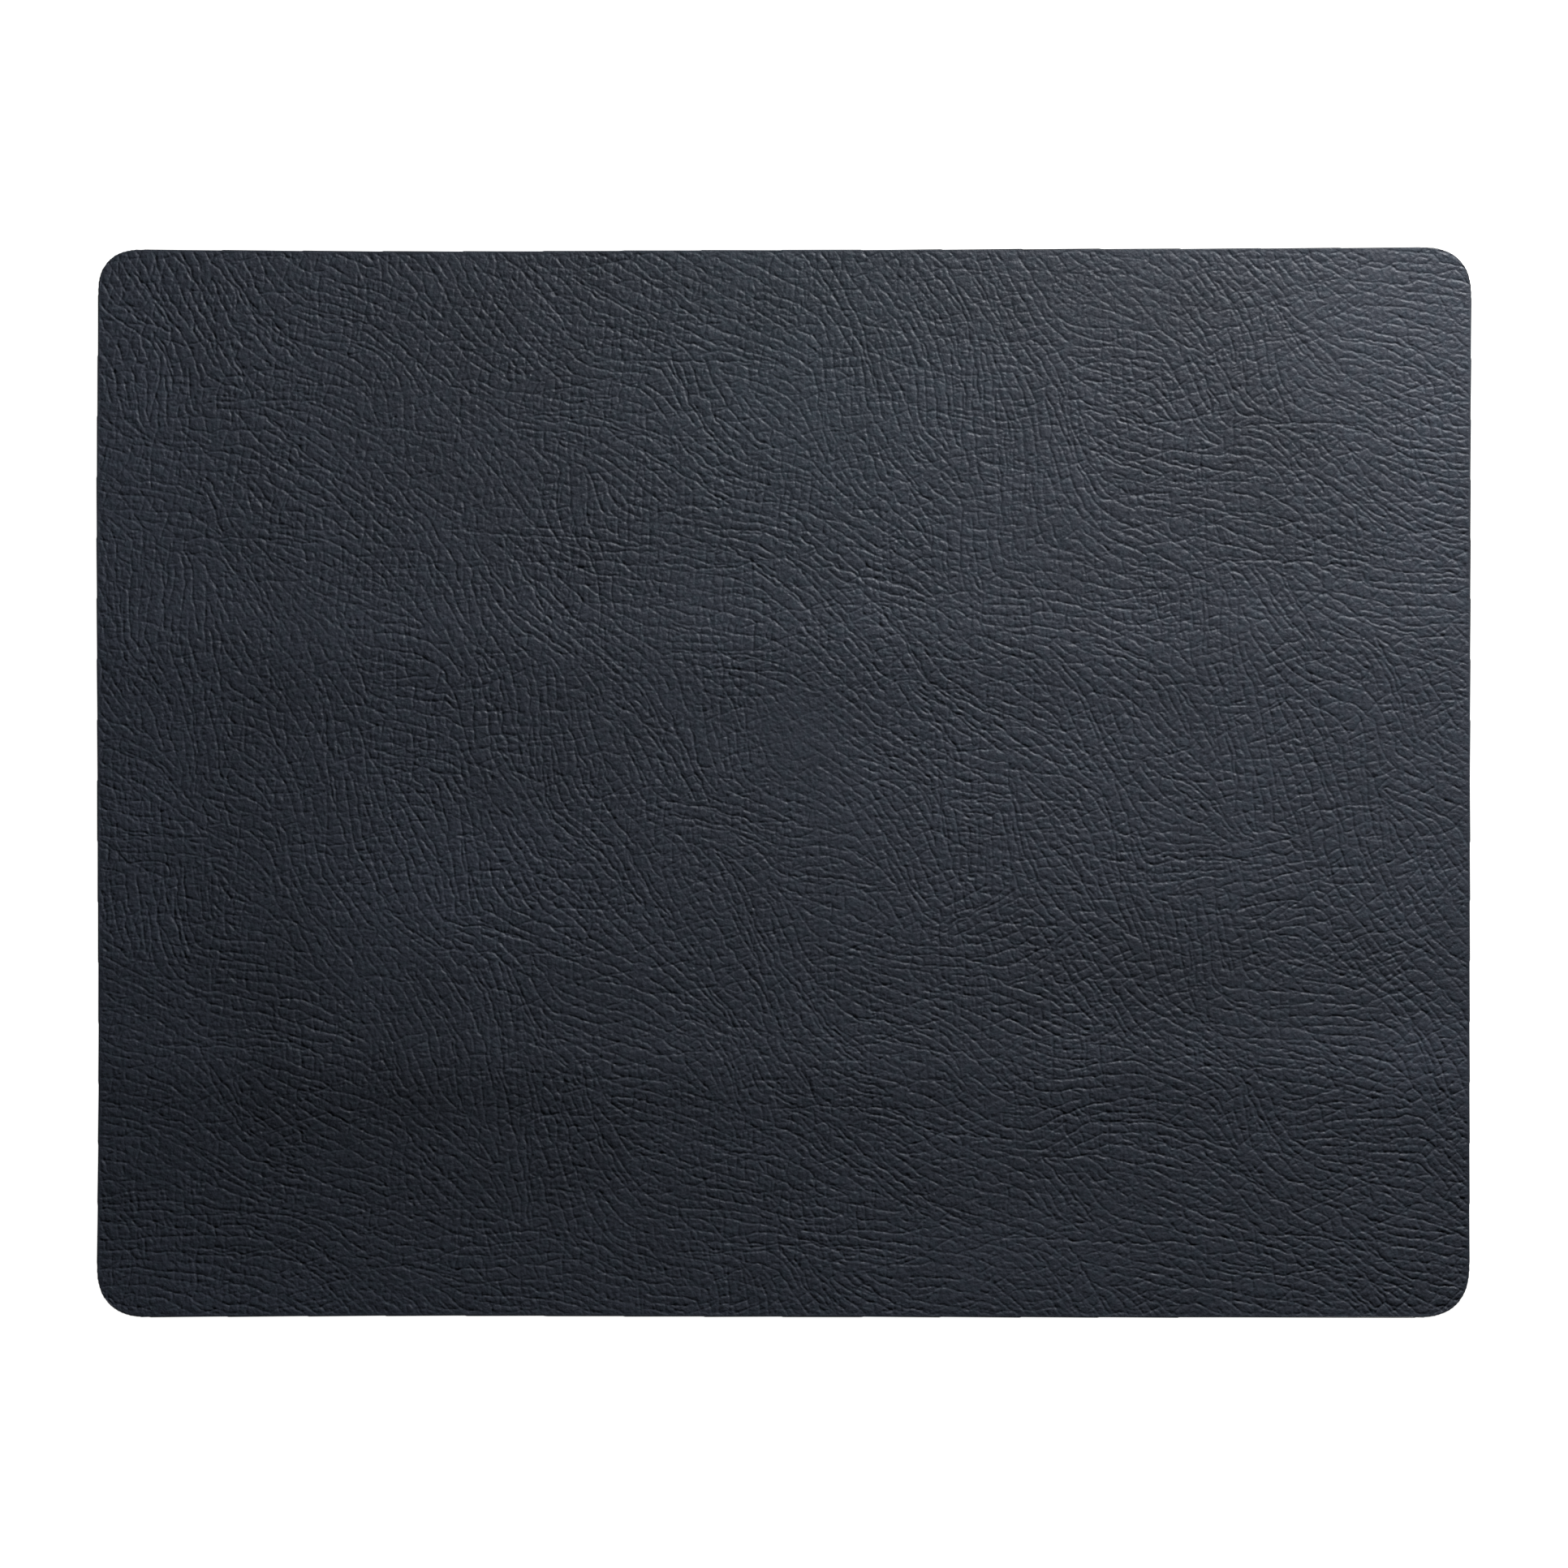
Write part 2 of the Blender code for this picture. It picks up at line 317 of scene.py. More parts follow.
def smooth_curve(points):
    """Points every CREASE_STEP along a smooth curve through the given ones."""
    points = np.array(points, float)
    ends = (2 * points[0] - points[1], 2 * points[-1] - points[-2])
    knots = np.vstack([ends[0], points, ends[1]])
    share = np.linspace(0, 1, 12, endpoint=False)[:, None]
    pieces = []
    for before, start, end, after in zip(knots, knots[1:], knots[2:], knots[3:]):
        bend = 2 * before - 5 * start + 4 * end - after
        twist = 3 * start - before - 3 * end + after
        pieces.append(0.5 * (2 * start + (end - before) * share + bend * share**2 + twist * share**3))
    line = np.vstack(pieces + [points[-1:]])
    run = length_along(line)
    return points_at(np.linspace(0, run[-1], int(run[-1] / CREASE_STEP) + 2), run, line)


def printed_main_creases():
    """The main creases at every repeat of the roller that reaches the mat."""
    printed = []
    for offset in REPEATS:
        for points in MAIN_CREASES:
            line = smooth_curve(points) + offset
            line = line[(abs(line[:, 0]) < HALF_X) & (abs(line[:, 1]) < HALF_Y)]
            if len(line) > 8:
                printed.append(line)
    return printed


def flow_angles(creases):
    """The angle at which the creases run, spread from the main creases over the whole mat."""
    rows, columns = field_shape(FLOW_PITCH)
    across = np.zeros((rows, columns))
    up = np.zeros((rows, columns))
    for line in creases:
        run = np.diff(line, axis=0)
        doubled = 2 * np.arctan2(run[:, 1], run[:, 0])
        column = ((line[:-1, 0] + HALF_X) / FLOW_PITCH).astype(int)
        row = ((line[:-1, 1] + HALF_Y) / FLOW_PITCH).astype(int)
        np.add.at(across, (row, column), np.cos(doubled))
        np.add.at(up, (row, column), np.sin(doubled))
    for x, y, angle in ZONES:
        place = (int((y + HALF_Y) / FLOW_PITCH), int((x + HALF_X) / FLOW_PITCH))
        across[place] += ZONE_WEIGHT * math.cos(math.radians(2 * angle))
        up[place] += ZONE_WEIGHT * math.sin(math.radians(2 * angle))
    across = sum(share * blurred(across, reach / FLOW_PITCH) for reach, share in FLOW_REACHES)
    up = sum(share * blurred(up, reach / FLOW_PITCH) for reach, share in FLOW_REACHES)
    return 0.5 * np.arctan2(up, across)


def kept_apart(angles, flow, least):
    """The angles, turned where needed so that they cross the flow by at least this much."""
    turn = (angles - flow + math.pi / 2) % math.pi - math.pi / 2
    wider = np.where(turn < 0, -1.0, 1.0) * np.maximum(abs(turn), least)
    return flow + wider


def disc(radius):
    """A round patch of cells of the owner grid, as a mask."""
    reach = int(math.ceil(radius / OWNER_PITCH))
    steps = np.arange(-reach, reach + 1) * OWNER_PITCH
    return steps[:, None] ** 2 + steps[None, :] ** 2 <= radius**2


class Ground:
    """The mat's surface as the creases share it: which crease holds each cell."""

    MARGIN = 12
    OWN = disc(0.5)

    def __init__(self):
        rows, columns = field_shape(OWNER_PITCH)
        self.shape = (rows + 2 * self.MARGIN, columns + 2 * self.MARGIN)
        self.owner = np.zeros(self.shape, np.int32)
        self.creases = []

    def cell(self, x, y):
        row = int((y + HALF_Y) / OWNER_PITCH) + self.MARGIN
        return row, int((x + HALF_X) / OWNER_PITCH) + self.MARGIN

    def stamp(self, grid, points, mask, value):
        reach = mask.shape[0] // 2
        for x, y in points:
            row, column = self.cell(x, y)
            row = min(max(row, reach), self.shape[0] - reach - 1)
            column = min(max(column, reach), self.shape[1] - reach - 1)
            patch = grid[row - reach : row + reach + 1, column - reach : column + reach + 1]
            patch[mask] = value

    def add(self, points):
        self.creases.append(np.array(points))
        self.stamp(self.owner, points, self.OWN, len(self.creases))


class Family:
    """One family of creases that run alike.

    gap is the least distance from the start of a crease to the others of its family. A crease that comes
    within crowd of another joins it. crosses is the share that pass over earlier families instead. waves
    holds the swings of each crease, in degrees, and their lengths. tilt is its stray angle in degrees.
    """

    SHORTEST = 2.0

    def __init__(self, angles, gap, crowd, length, waves, tilt, crosses=0.0):
        self.angles = angles.tolist()
        self.gap = gap
        self.crowd = crowd
        self.length = length
        self.waves = waves
        self.tilt = math.radians(tilt)
        self.crosses = crosses
        self.tries = int(5 * 4 * HALF_X * HALF_Y / gap**2)

    def angle_at(self, x, y):
        return self.angles[int((y + HALF_Y) / FLOW_PITCH)][int((x + HALF_X) / FLOW_PITCH)]

    def grow(self, ground, rng):
        """Adds the family's creases to the ground, one at a time."""
        near = np.zeros(ground.shape, bool)
        crowded = np.zeros(ground.shape, np.int32)
        near_mask, crowd_mask = disc(self.gap), disc(self.crowd)
        earlier = len(ground.creases)
        starts = rng.uniform((-HALF_X, -HALF_Y), (HALF_X, HALF_Y), (self.tries, 2)).tolist()
        spans = np.exp(rng.normal(math.log(self.length), 0.55, self.tries)).tolist()
        tilts = rng.normal(0.0, self.tilt, self.tries).tolist()
        phases = rng.uniform(0.0, 2 * math.pi, (self.tries, 2)).tolist()
        stretches = rng.uniform(0.7, 1.4, (self.tries, 2)).tolist()
        passes = (rng.random(self.tries) < self.crosses).tolist()
        for start, span, tilt, phase, stretch, over in zip(starts, spans, tilts, phases, stretches, passes):
            cell = ground.cell(*start)
            if near[cell] or ground.owner[cell]:
                continue
            bends = (tilt, phase, stretch)
            ahead, behind = (
                self.half(ground, crowded, earlier, start, way, span / 2, bends, over) for way in (1.0, -1.0)
            )
            points = behind[::-1] + [tuple(start)] + ahead
            if len(points) * CREASE_STEP < self.SHORTEST:
                continue
            ground.add(points)
            ground.stamp(near, points, near_mask, True)
            ground.stamp(crowded, points, crowd_mask, len(ground.creases))

    def half(self, ground, crowded, earlier, start, way, span, bends, over):
        """One half of a crease, grown from its start until it is long enough or joins another."""
        tilt, phase, stretch = bends
        x, y = start
        run = 0.0
        points = []
        while run < span:
            angle = self.angle_at(x, y) + tilt
            for (swing, wave), offset, factor in zip(self.waves, phase, stretch):
                angle += math.radians(swing) * math.sin(2 * math.pi * way * run / (wave * factor) + offset)
            step_x, step_y = way * math.cos(angle), way * math.sin(angle)
            x += CREASE_STEP * step_x
            y += CREASE_STEP * step_y
            run += CREASE_STEP
            if abs(x) > HALF_X or abs(y) > HALF_Y:
                break
            cell = ground.cell(x, y)
            met, ahead = int(crowded[cell]), 1.4 * self.crowd
            if not met:
                met, ahead = int(ground.owner[cell]), 0.0
                if met <= earlier and over:
                    met = 0
            if met:
                other = ground.creases[met - 1]
                away = (other[:, 0] - x - ahead * step_x) ** 2 + (other[:, 1] - y - ahead * step_y) ** 2
                points.append(tuple(other[int(away.argmin())]))
                break
            points.append((x, y))
        return points


def meandering(line, rng):
    """A main crease with a slight waver of its own."""
    run = np.gradient(line, axis=0)
    sideways = np.stack([-run[:, 1], run[:, 0]], axis=1) / np.hypot(run[:, 0], run[:, 1])[:, None]
    along = np.arange(len(line)) * CREASE_STEP
    waver = np.zeros(len(line))
    for amount, shortest, longest in ((0.25, 7.0, 12.0), (0.12, 2.5, 4.0)):
        wave = rng.uniform(shortest, longest)
        waver += amount * np.sin(2 * math.pi * along / wave + rng.uniform(0, 2 * math.pi))
    return line + sideways * waver[:, None]


def grow_creases(rng):
    """All the creases of the mat, and how deep each one is.

    Three families grow between the main creases: along the flow, across it, and roughly level. Each is given
    with the least and the greatest depth of its creases, as shares of a full one.
    """
    ground = Ground()
    mains = printed_main_creases()
    for line in mains:
        ground.add(meandering(line, rng))
    flow = flow_angles(mains)
    along = flow + math.radians(4) * smooth_noise(rng, FLOW_PITCH, 12)
    across = flow + math.radians(90) + math.radians(12) * smooth_noise(rng, FLOW_PITCH, 14)
    level = math.radians(-6) + math.radians(12) * smooth_noise(rng, FLOW_PITCH, 16)
    least = math.radians(35)
    level = kept_apart(level, flow, least)
    gentle, lively = ((5, 4), (4, 18)), ((7, 4), (6, 14))
    families = (
        (Family(along, gap=2.7, crowd=1.5, length=20.0, waves=gentle, tilt=5), 0.60, 1.20),
        (Family(across, gap=2.8, crowd=1.5, length=6.0, waves=lively, tilt=9, crosses=0.6), 0.45, 1.00),
        (Family(level, gap=5.0, crowd=1.6, length=9.0, waves=lively, tilt=7, crosses=0.8), 0.40, 0.90),
    )
    depths = [rng.uniform(1.0, 1.5, len(mains))]
    for family, low, high in families:
        before = len(ground.creases)
        family.grow(ground, rng)
        depths.append(rng.uniform(low, high, len(ground.creases) - before))
    return ground.creases, np.concatenate(depths)


def drawn(creases, depths, rng):
    """How much crease lies in each cell of the relief. Each crease fades at its ends and varies along it."""
    rows, columns = field_shape(RELIEF_PITCH)
    xs, ys, amounts = [], [], []
    for points, depth in zip(creases, depths):
        run = length_along(points)
        places = np.linspace(0, run[-1], max(2, int(run[-1] / (RELIEF_PITCH / 2))))
        fade = np.clip(0.35 + np.minimum(places, run[-1] - places) / 2.0, 0, 1)
        wave = 9.0 / rng.uniform(0.7, 1.4)
        vary = 1 + 0.35 * np.sin(2 * math.pi * places / wave + rng.uniform(0, 2 * math.pi))
        xs.append(np.interp(places, run, points[:, 0]))
        ys.append(np.interp(places, run, points[:, 1]))
        amounts.append(depth * fade * vary * run[-1] / (len(places) - 1))
    x, y = np.concatenate(xs), np.concatenate(ys)
    kink_x, kink_y = (KINK * smooth_noise(rng, RELIEF_PITCH, KINK_SIZE) for _ in range(2))
    column = (x + sampled(kink_x, RELIEF_PITCH, x, y) + HALF_X) / RELIEF_PITCH
    row = (y + sampled(kink_y, RELIEF_PITCH, x, y) + HALF_Y) / RELIEF_PITCH
    column, row = np.clip(column, 0, columns - 1.001), np.clip(row, 0, rows - 1.001)
    amount = np.concatenate(amounts) / RELIEF_PITCH**2
    left, low = column.astype(int), row.astype(int)
    right_share, high_share = column - left, row - low
    total = np.zeros(rows * columns)
    for up, row_share in ((0, 1 - high_share), (1, high_share)):
        for across, column_share in ((0, 1 - right_share), (1, right_share)):
            cells = (low + up) * columns + left + across
            total += np.bincount(cells, weights=amount * row_share * column_share, minlength=rows * columns)
    return total.reshape(rows, columns)


def spread_out(density, spread):
    """The drawn creases blurred, so that a straight one of depth 1 peaks at 1."""
    return blurred(density, spread / RELIEF_PITCH) * spread * math.sqrt(2 * math.pi)


def leaning(field):
    """The field moved a little to the right and back: creases fall steeply in front and gently behind."""
    return np.roll(field, VALLEY_LEAN, axis=(1, 0))


def cell_net(rng):
    """Cobbled cells in rough rows and columns: the lines between them, and how each cell is rounded off."""
    rows, columns = field_shape(RELIEF_PITCH)
    x, y = np.meshgrid(-HALF_X + RELIEF_PITCH * np.arange(columns), -HALF_Y + RELIEF_PITCH * np.arange(rows))
    wander_x, wander_y = (CELL_WANDER * smooth_noise(rng, RELIEF_PITCH, 14.0) for _ in range(2))
    tilt = math.radians(CELL_TILT)
    across = (x * math.cos(tilt) + y * math.sin(tilt) + wander_x) / CELL_SIZE + 200
    up = (y * math.cos(tilt) - x * math.sin(tilt) + wander_y) / CELL_SIZE + 200
    column, row = across.astype(int), up.astype(int)
    seeds = rng.uniform(-CELL_STRAY, CELL_STRAY, (2, 400, 400)) + 0.5
    first = np.full(x.shape, 9.0)
    second = np.full(x.shape, 9.0)
    for step_up in (-1, 0, 1):
        for step_across in (-1, 0, 1):
            seed_across = column + step_across + seeds[0, row + step_up, column + step_across]
            seed_up = row + step_up + seeds[1, row + step_up, column + step_across]
            away = np.hypot(seed_across - across, seed_up - up)
            second = np.minimum(second, np.maximum(first, away))
            first = np.minimum(first, away)
    line = np.exp(-(((second - first) / CELL_LINE_WIDTH) ** 2))
    return line, np.exp(-(second - first) / 0.35)


def leather_relief():
    """The grain's height, zero on the plateaus and negative in the creases, and how creased each cell is."""
    rng = np.random.default_rng(7)
    creases, depths = grow_creases(rng)
    density = drawn(creases, depths, rng)
    cut = np.tanh(spread_out(density, CUT_SPREAD))
    valley = leaning(np.tanh(0.55 * spread_out(density, VALLEY_SPREAD)))
    wrinkle = np.exp(-((smooth_noise(rng, RELIEF_PITCH, WRINKLE_SIZE) / WRINKLE_WIDTH) ** 2))
    height = -CUT_DEPTH * cut - VALLEY_DEPTH * valley - WRINKLE_DEPTH * wrinkle * (1 - cut)
    line, rounded = cell_net(rng)
    vary = np.clip(0.8 + 0.35 * smooth_noise(rng, RELIEF_PITCH, 2.5), 0.1, 1.5)
    height -= (CELL_LINE_DEPTH * line + CELL_ROUNDNESS * leaning(rounded)) * vary * (1 - 0.5 * valley)
    height = -DEEPEST * np.tanh(-height * regional_strength(rng) / DEEPEST)
    height += PEBBLE_DEPTH * smooth_noise(rng, RELIEF_PITCH, PEBBLE_SIZE)
    return height, cut


def regional_strength(rng):
    """How strongly the grain is pressed in each region, about 1."""
    rows, columns = field_shape(RELIEF_PITCH)
    x = -HALF_X + RELIEF_PITCH * np.arange(columns)[None, :]
    y = -HALF_Y + RELIEF_PITCH * np.arange(rows)[:, None]
    away = ((x - SMOOTH_PATCH[0]) ** 2 + (y - SMOOTH_PATCH[1]) ** 2) / SMOOTH_REACH**2
    patch = 1 - (1 - SMOOTH_KEEPS) * np.exp(-away)
    side, back = x / HALF_X, y / HALF_Y
    slope = 1 + STRONGER[0] * side + STRONGER[1] * back + STRONGER[2] * side * back
    return np.exp(0.12 * smooth_noise(rng, RELIEF_PITCH, 12.0)) * patch * slope


# ---------------------------------------------------------------- meshes


def node_outline(node):
    """A CAD layer's outline from above: the points of its lowest ring, counter-clockwise."""
    points = np.array([vert.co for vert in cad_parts[node].data.vertices]) / MM
    ring = points[points[:, 2] < points[:, 2].min() + 0.01, :2]
    ring = np.unique(ring.round(3), axis=0)
    return ring[np.argsort(np.arctan2(ring[:, 1], ring[:, 0]))]


def moved_out(ring, amount):
    """A counter-clockwise ring moved outwards by amount, along the normals of its points."""
    run = np.roll(ring, -1, axis=0) - np.roll(ring, 1, axis=0)
    outward = np.stack([run[:, 1], -run[:, 0]], axis=1) / np.hypot(run[:, 0], run[:, 1])[:, None]
    return ring + outward * amount


def reach_of(outline, angles):
    """How far the outline is from the middle at each angle."""
    turns = np.arctan2(outline[:, 1], outline[:, 0])
    after = np.searchsorted(turns, angles) % len(outline)
    start, end = outline[after - 1], outline[after]
    run = end - start
    over = start[:, 0] * end[:, 1] - start[:, 1] * end[:, 0]
    return over / (np.cos(angles) * run[:, 1] - np.sin(angles) * run[:, 0])


def outline_grid(outline, quad):
    """A grid of points that fills the outline: x, y and the distance from the rim, each rows by columns."""
    half = abs(outline).max(axis=0)
    columns, rows = (np.ceil(2 * half / quad) + 1).astype(int)
    x, y = np.meshgrid(np.linspace(-half[0], half[0], columns), np.linspace(-half[1], half[1], rows))
    rim = np.minimum(half[0] - abs(x), half[1] - abs(y))
    into_x = np.clip((abs(x) - half[0]) / CORNER_ZONE + 1, 0, 1)
    into_y = np.clip((abs(y) - half[1]) / CORNER_ZONE + 1, 0, 1)
    x = np.sign(x) * (abs(x) - CORNER_ZONE * into_x * (1 - np.sqrt(1 - into_y**2 / 2)))
    y = np.sign(y) * (abs(y) - CORNER_ZONE * into_y * (1 - np.sqrt(1 - into_x**2 / 2)))
    edge = rim_cells(rows, columns)
    turns = np.arctan2(y, x)
    edge_turns = turns.ravel()[edge]
    order = np.argsort(edge_turns)
    stretch = reach_of(outline, edge_turns) / np.hypot(x, y).ravel()[edge]
    near = np.clip(1 - rim / 25.0, 0, 1)
    scale = 1 + near * (np.interp(turns, edge_turns[order], stretch[order], period=2 * math.pi) - 1)
    scale.ravel()[edge] = stretch
    return x * scale, y * scale, rim


def rim_cells(rows, columns):
    """The indices of a grid's outer points, counter-clockwise."""
    index = np.arange(rows * columns).reshape(rows, columns)
    return np.concatenate([index[0, :-1], index[:-1, -1], index[-1, :0:-1], index[:0:-1, 0]])


def grid_quads(rows, columns):
    index = np.arange(rows * columns).reshape(rows, columns)
    return np.stack([index[:-1, :-1], index[:-1, 1:], index[1:, 1:], index[1:, :-1]], axis=-1).reshape(-1, 4)


def strip_quads(lower, upper):
    """The quads between two closed rings of points, facing out where the rings run counter-clockwise."""
    return np.stack([lower, np.roll(lower, -1), np.roll(upper, -1), upper], axis=-1)


def make_mesh_object(name, points, quads, cap=None):
    """A smooth mesh object from points in millimetres. cap is one more face, flat, with many corners."""
    mesh = bpy.data.meshes.new(name)
    corners = quads.ravel()
    starts = np.arange(len(quads)) * 4
    smooth = np.ones(len(quads), bool)
    if cap is not None:
        starts = np.append(starts, len(corners))
        corners = np.append(corners, cap)
        smooth = np.append(smooth, False)
    mesh.vertices.add(len(points))
    mesh.vertices.foreach_set("co", (points * MM).astype(np.float32).ravel())
    mesh.loops.add(len(corners))
    mesh.loops.foreach_set("vertex_index", corners.astype(np.int32))
    mesh.polygons.add(len(starts))
    mesh.polygons.foreach_set("loop_start", starts.astype(np.int32))
    mesh.polygons.foreach_set("use_smooth", smooth)
    mesh.update(calc_edges=True)
    mesh.validate()
    thing = bpy.data.objects.new(name, mesh)
    bpy.context.scene.collection.objects.link(thing)
    return thing


def add_attribute(thing, name, values):
    attribute = thing.data.attributes.new(name, "FLOAT", "POINT")
    attribute.data.foreach_set("value", values.astype(np.float32))


def painted_light_and_shade(x, y):
    """How much lighter the base colour is painted at each point, for the broad light and shade over the mat.
    """
    painted_shading = np.zeros(x.shape)
    for middle_x, middle_y, reach_x, reach_y, lighter in PAINTED_LIGHT_AND_SHADE_PATCHES:
        painted_shading += lighter * np.exp(-0.5 * (((x - middle_x) / reach_x) ** 2 + ((y - middle_y) / reach_y) ** 2))
    return painted_shading


def patch_at(x, y, place, reach):
    """A soft patch: 1 at its place, and fading out over its reach along x and y."""
    return np.exp(-(((x - place[0]) / reach[0]) ** 2) - ((y - place[1]) / reach[1]) ** 2)


def make_leather(material):
    """The leather face: a fine grid with the grain in it, a rounded edge, a wall and a flat back."""
    low, high = (np.array(corner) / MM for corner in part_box("leather_face"))
    outline = node_outline("leather_face")
    x, y, rim = outline_grid(moved_out(outline, -EDGE_ROUND), QUAD)
    relief, creased = leather_relief()
    height = high[2] + sampled(relief, RELIEF_PITCH, x, y) * (1 - np.exp(-((rim / RIM_FADE) ** 2)))
    swell = smooth_noise(np.random.default_rng(3), FLOW_PITCH, SWELL_SIZE)
    height += SWELL * sampled(swell, FLOW_PITCH, x, y)
    for level, spread, rise in FOLDS:
        height += rise * np.exp(-0.5 * ((y - level) / spread) ** 2) * np.clip(rim / FOLD_FADE, 0, 1)
    height -= RIM_DROP * np.exp(-((rim / RIM_DROP_REACH) ** 2))
    rings = [rim_cells(*x.shape)]
    points = [np.stack([x.ravel(), y.ravel(), height.ravel()], axis=1)]
    edge = points[0][rings[0]]
    count = len(edge)
    profile = []
    for ring in range(1, EDGE_RINGS + 1):
        turn = math.pi / 2 * ring / EDGE_RINGS
        profile.append((EDGE_ROUND * math.sin(turn), edge[:, 2] - EDGE_ROUND * (1 - math.cos(turn))))
    profile.append((EDGE_ROUND, np.full(count, low[2])))
    for out, level in profile:
        points.append(np.column_stack([moved_out(edge[:, :2], out), level]))
        rings.append(np.arange(count) + x.size + count * (len(rings) - 1))
    quads = [grid_quads(*x.shape)] + [strip_quads(outer, inner) for inner, outer in zip(rings, rings[1:])]
    thing = make_mesh_object("leather_skin", np.vstack(points), np.vstack(quads), cap=rings[-1][::-1])
    crease = np.zeros(len(thing.data.vertices))
    crease[: x.size] = np.clip(sampled(creased, RELIEF_PITCH, x, y), 0, 1).ravel()
    add_attribute(thing, "crease", crease)
    vertex_x, vertex_y = np.vstack(points)[:, :2].T
    # Painted light and shade over the whole face, as lighter and darker patches in the base colour.
    add_attribute(thing, "painted_shading", painted_light_and_shade(vertex_x, vertex_y))
    cold = patch_at(vertex_x, vertex_y, COLD_PLACE, COLD_REACH)
    # Painted sheen: this share grows towards the back right, under the light, and greys the blue base colour
    # there. It also lowers the specular level there.
    toward_light = 0.5 + 0.35 * vertex_x / HALF_X + 0.15 * vertex_y / HALF_Y - 0.35 * cold
    add_attribute(thing, "toward_light", np.clip(toward_light, 0, 1))
    add_attribute(thing, "greener", patch_at(vertex_x, vertex_y, GREEN_PLACE, GREEN_REACH))
    thing.data.materials.append(material)
    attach(thing, "root")
    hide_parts("leather_face")
    return thing


def resampled(ring, step):
    """A closed ring as points at even steps."""
    closed = np.vstack([ring, ring[:1]])
    run = length_along(closed)
    return points_at(np.linspace(0, run[-1], int(run[-1] / step), endpoint=False), run, closed)


def ring_waver(rng, count, step, amount, wavelength):
    """A soft random waver round a closed ring of points at even steps, of a given size and wavelength."""
    wave = wavelength / step
    spectrum = np.fft.rfft(rng.standard_normal(count))
    kept = np.exp(-2 * (math.pi * wave * np.fft.rfftfreq(count)) ** 2)
    bumps = np.fft.irfft(spectrum * kept, count)
    return amount * (bumps / bumps.std())


def make_edge_paint(material):
    """The paint on the cut edge: an uneven bead whose upper lip laps onto the leather's rounded edge."""
    low, high = (np.array(corner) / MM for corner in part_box("edge_paint"))
    step = 0.8
    ring = resampled(node_outline("edge_paint"), step)
    rng = np.random.default_rng(11)
    lip = ring_waver(rng, len(ring), step, *LIP_WAVER)
    bulge = ring_waver(rng, len(ring), step, *BULGE_WAVER)
    middle = (low[2] + high[2]) / 2
    # The bead's section, from its lip round the outside to its back: how far out and how high each point is.
    profile = (
        (-0.33 - lip, high[2] - 0.02),
        (-0.27 - lip, high[2] + 0.05 + lip * 0.3),
        (-0.20, high[2] + 0.04),
        (-0.11, high[2] - 0.06),
        (-0.04, high[2] - 0.20),
        (0.00 + bulge, high[2] - 0.45),
        (0.04 + bulge, middle),
        (0.02 + bulge, low[2] + 0.45),
        (-0.03, low[2] + 0.18),
        (-0.10, low[2] + 0.06),
        (-0.20, low[2]),
        (-0.33, low[2] + 0.02),
        (-0.35, middle),
    )
    points, rings = [], []
    for out, level in profile:
        offset = np.broadcast_to(out, len(ring))[:, None]
        placed = moved_out(ring, 1.0) * offset + ring * (1 - offset)
        points.append(np.column_stack([placed, np.broadcast_to(level, len(ring))]))
        rings.append(np.arange(len(ring)) + len(ring) * len(rings))
    quads = [strip_quads(outer, inner) for inner, outer in zip(rings, rings[1:] + rings[:1])]
    thing = make_mesh_object("edge_paint_bead", np.vstack(points), np.vstack(quads))
    thing.data.materials.append(material)
    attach(thing, "root")
    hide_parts("edge_paint")
    return thing


def make_backing(material):
    """The napped backing: a thin sheet, soft and slightly uneven underneath."""
    low, high = (np.array(corner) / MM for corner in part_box("nonslip_backing"))
    outline = node_outline("nonslip_backing")
    x, y, rim = outline_grid(outline, 1.5)
    rng = np.random.default_rng(5)
    nap = sampled(smooth_noise(rng, 1.0, 2.2), 1.0, x, y) + sampled(smooth_noise(rng, 1.0, 9.0), 1.0, x, y)
    under = low[2] + np.clip(0.04 + 0.015 * nap, 0.0, 0.1) + 0.12 * np.exp(-((rim / 1.5) ** 2))
    upper = np.stack([x.ravel(), y.ravel(), np.full(x.size, high[2])], axis=1)
    points = np.vstack([upper, np.stack([x.ravel(), y.ravel(), under.ravel()], axis=1)])
    top_rim = rim_cells(*x.shape)
    quads = grid_quads(*x.shape)
    quads = np.vstack([quads, quads[:, ::-1] + x.size, strip_quads(top_rim + x.size, top_rim)])
    thing = make_mesh_object("microfibre_backing", points, quads)
    thing.data.materials.append(material)
    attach(thing, "root")
    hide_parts("nonslip_backing")
    return thing


# ---------------------------------------------------------------- materials


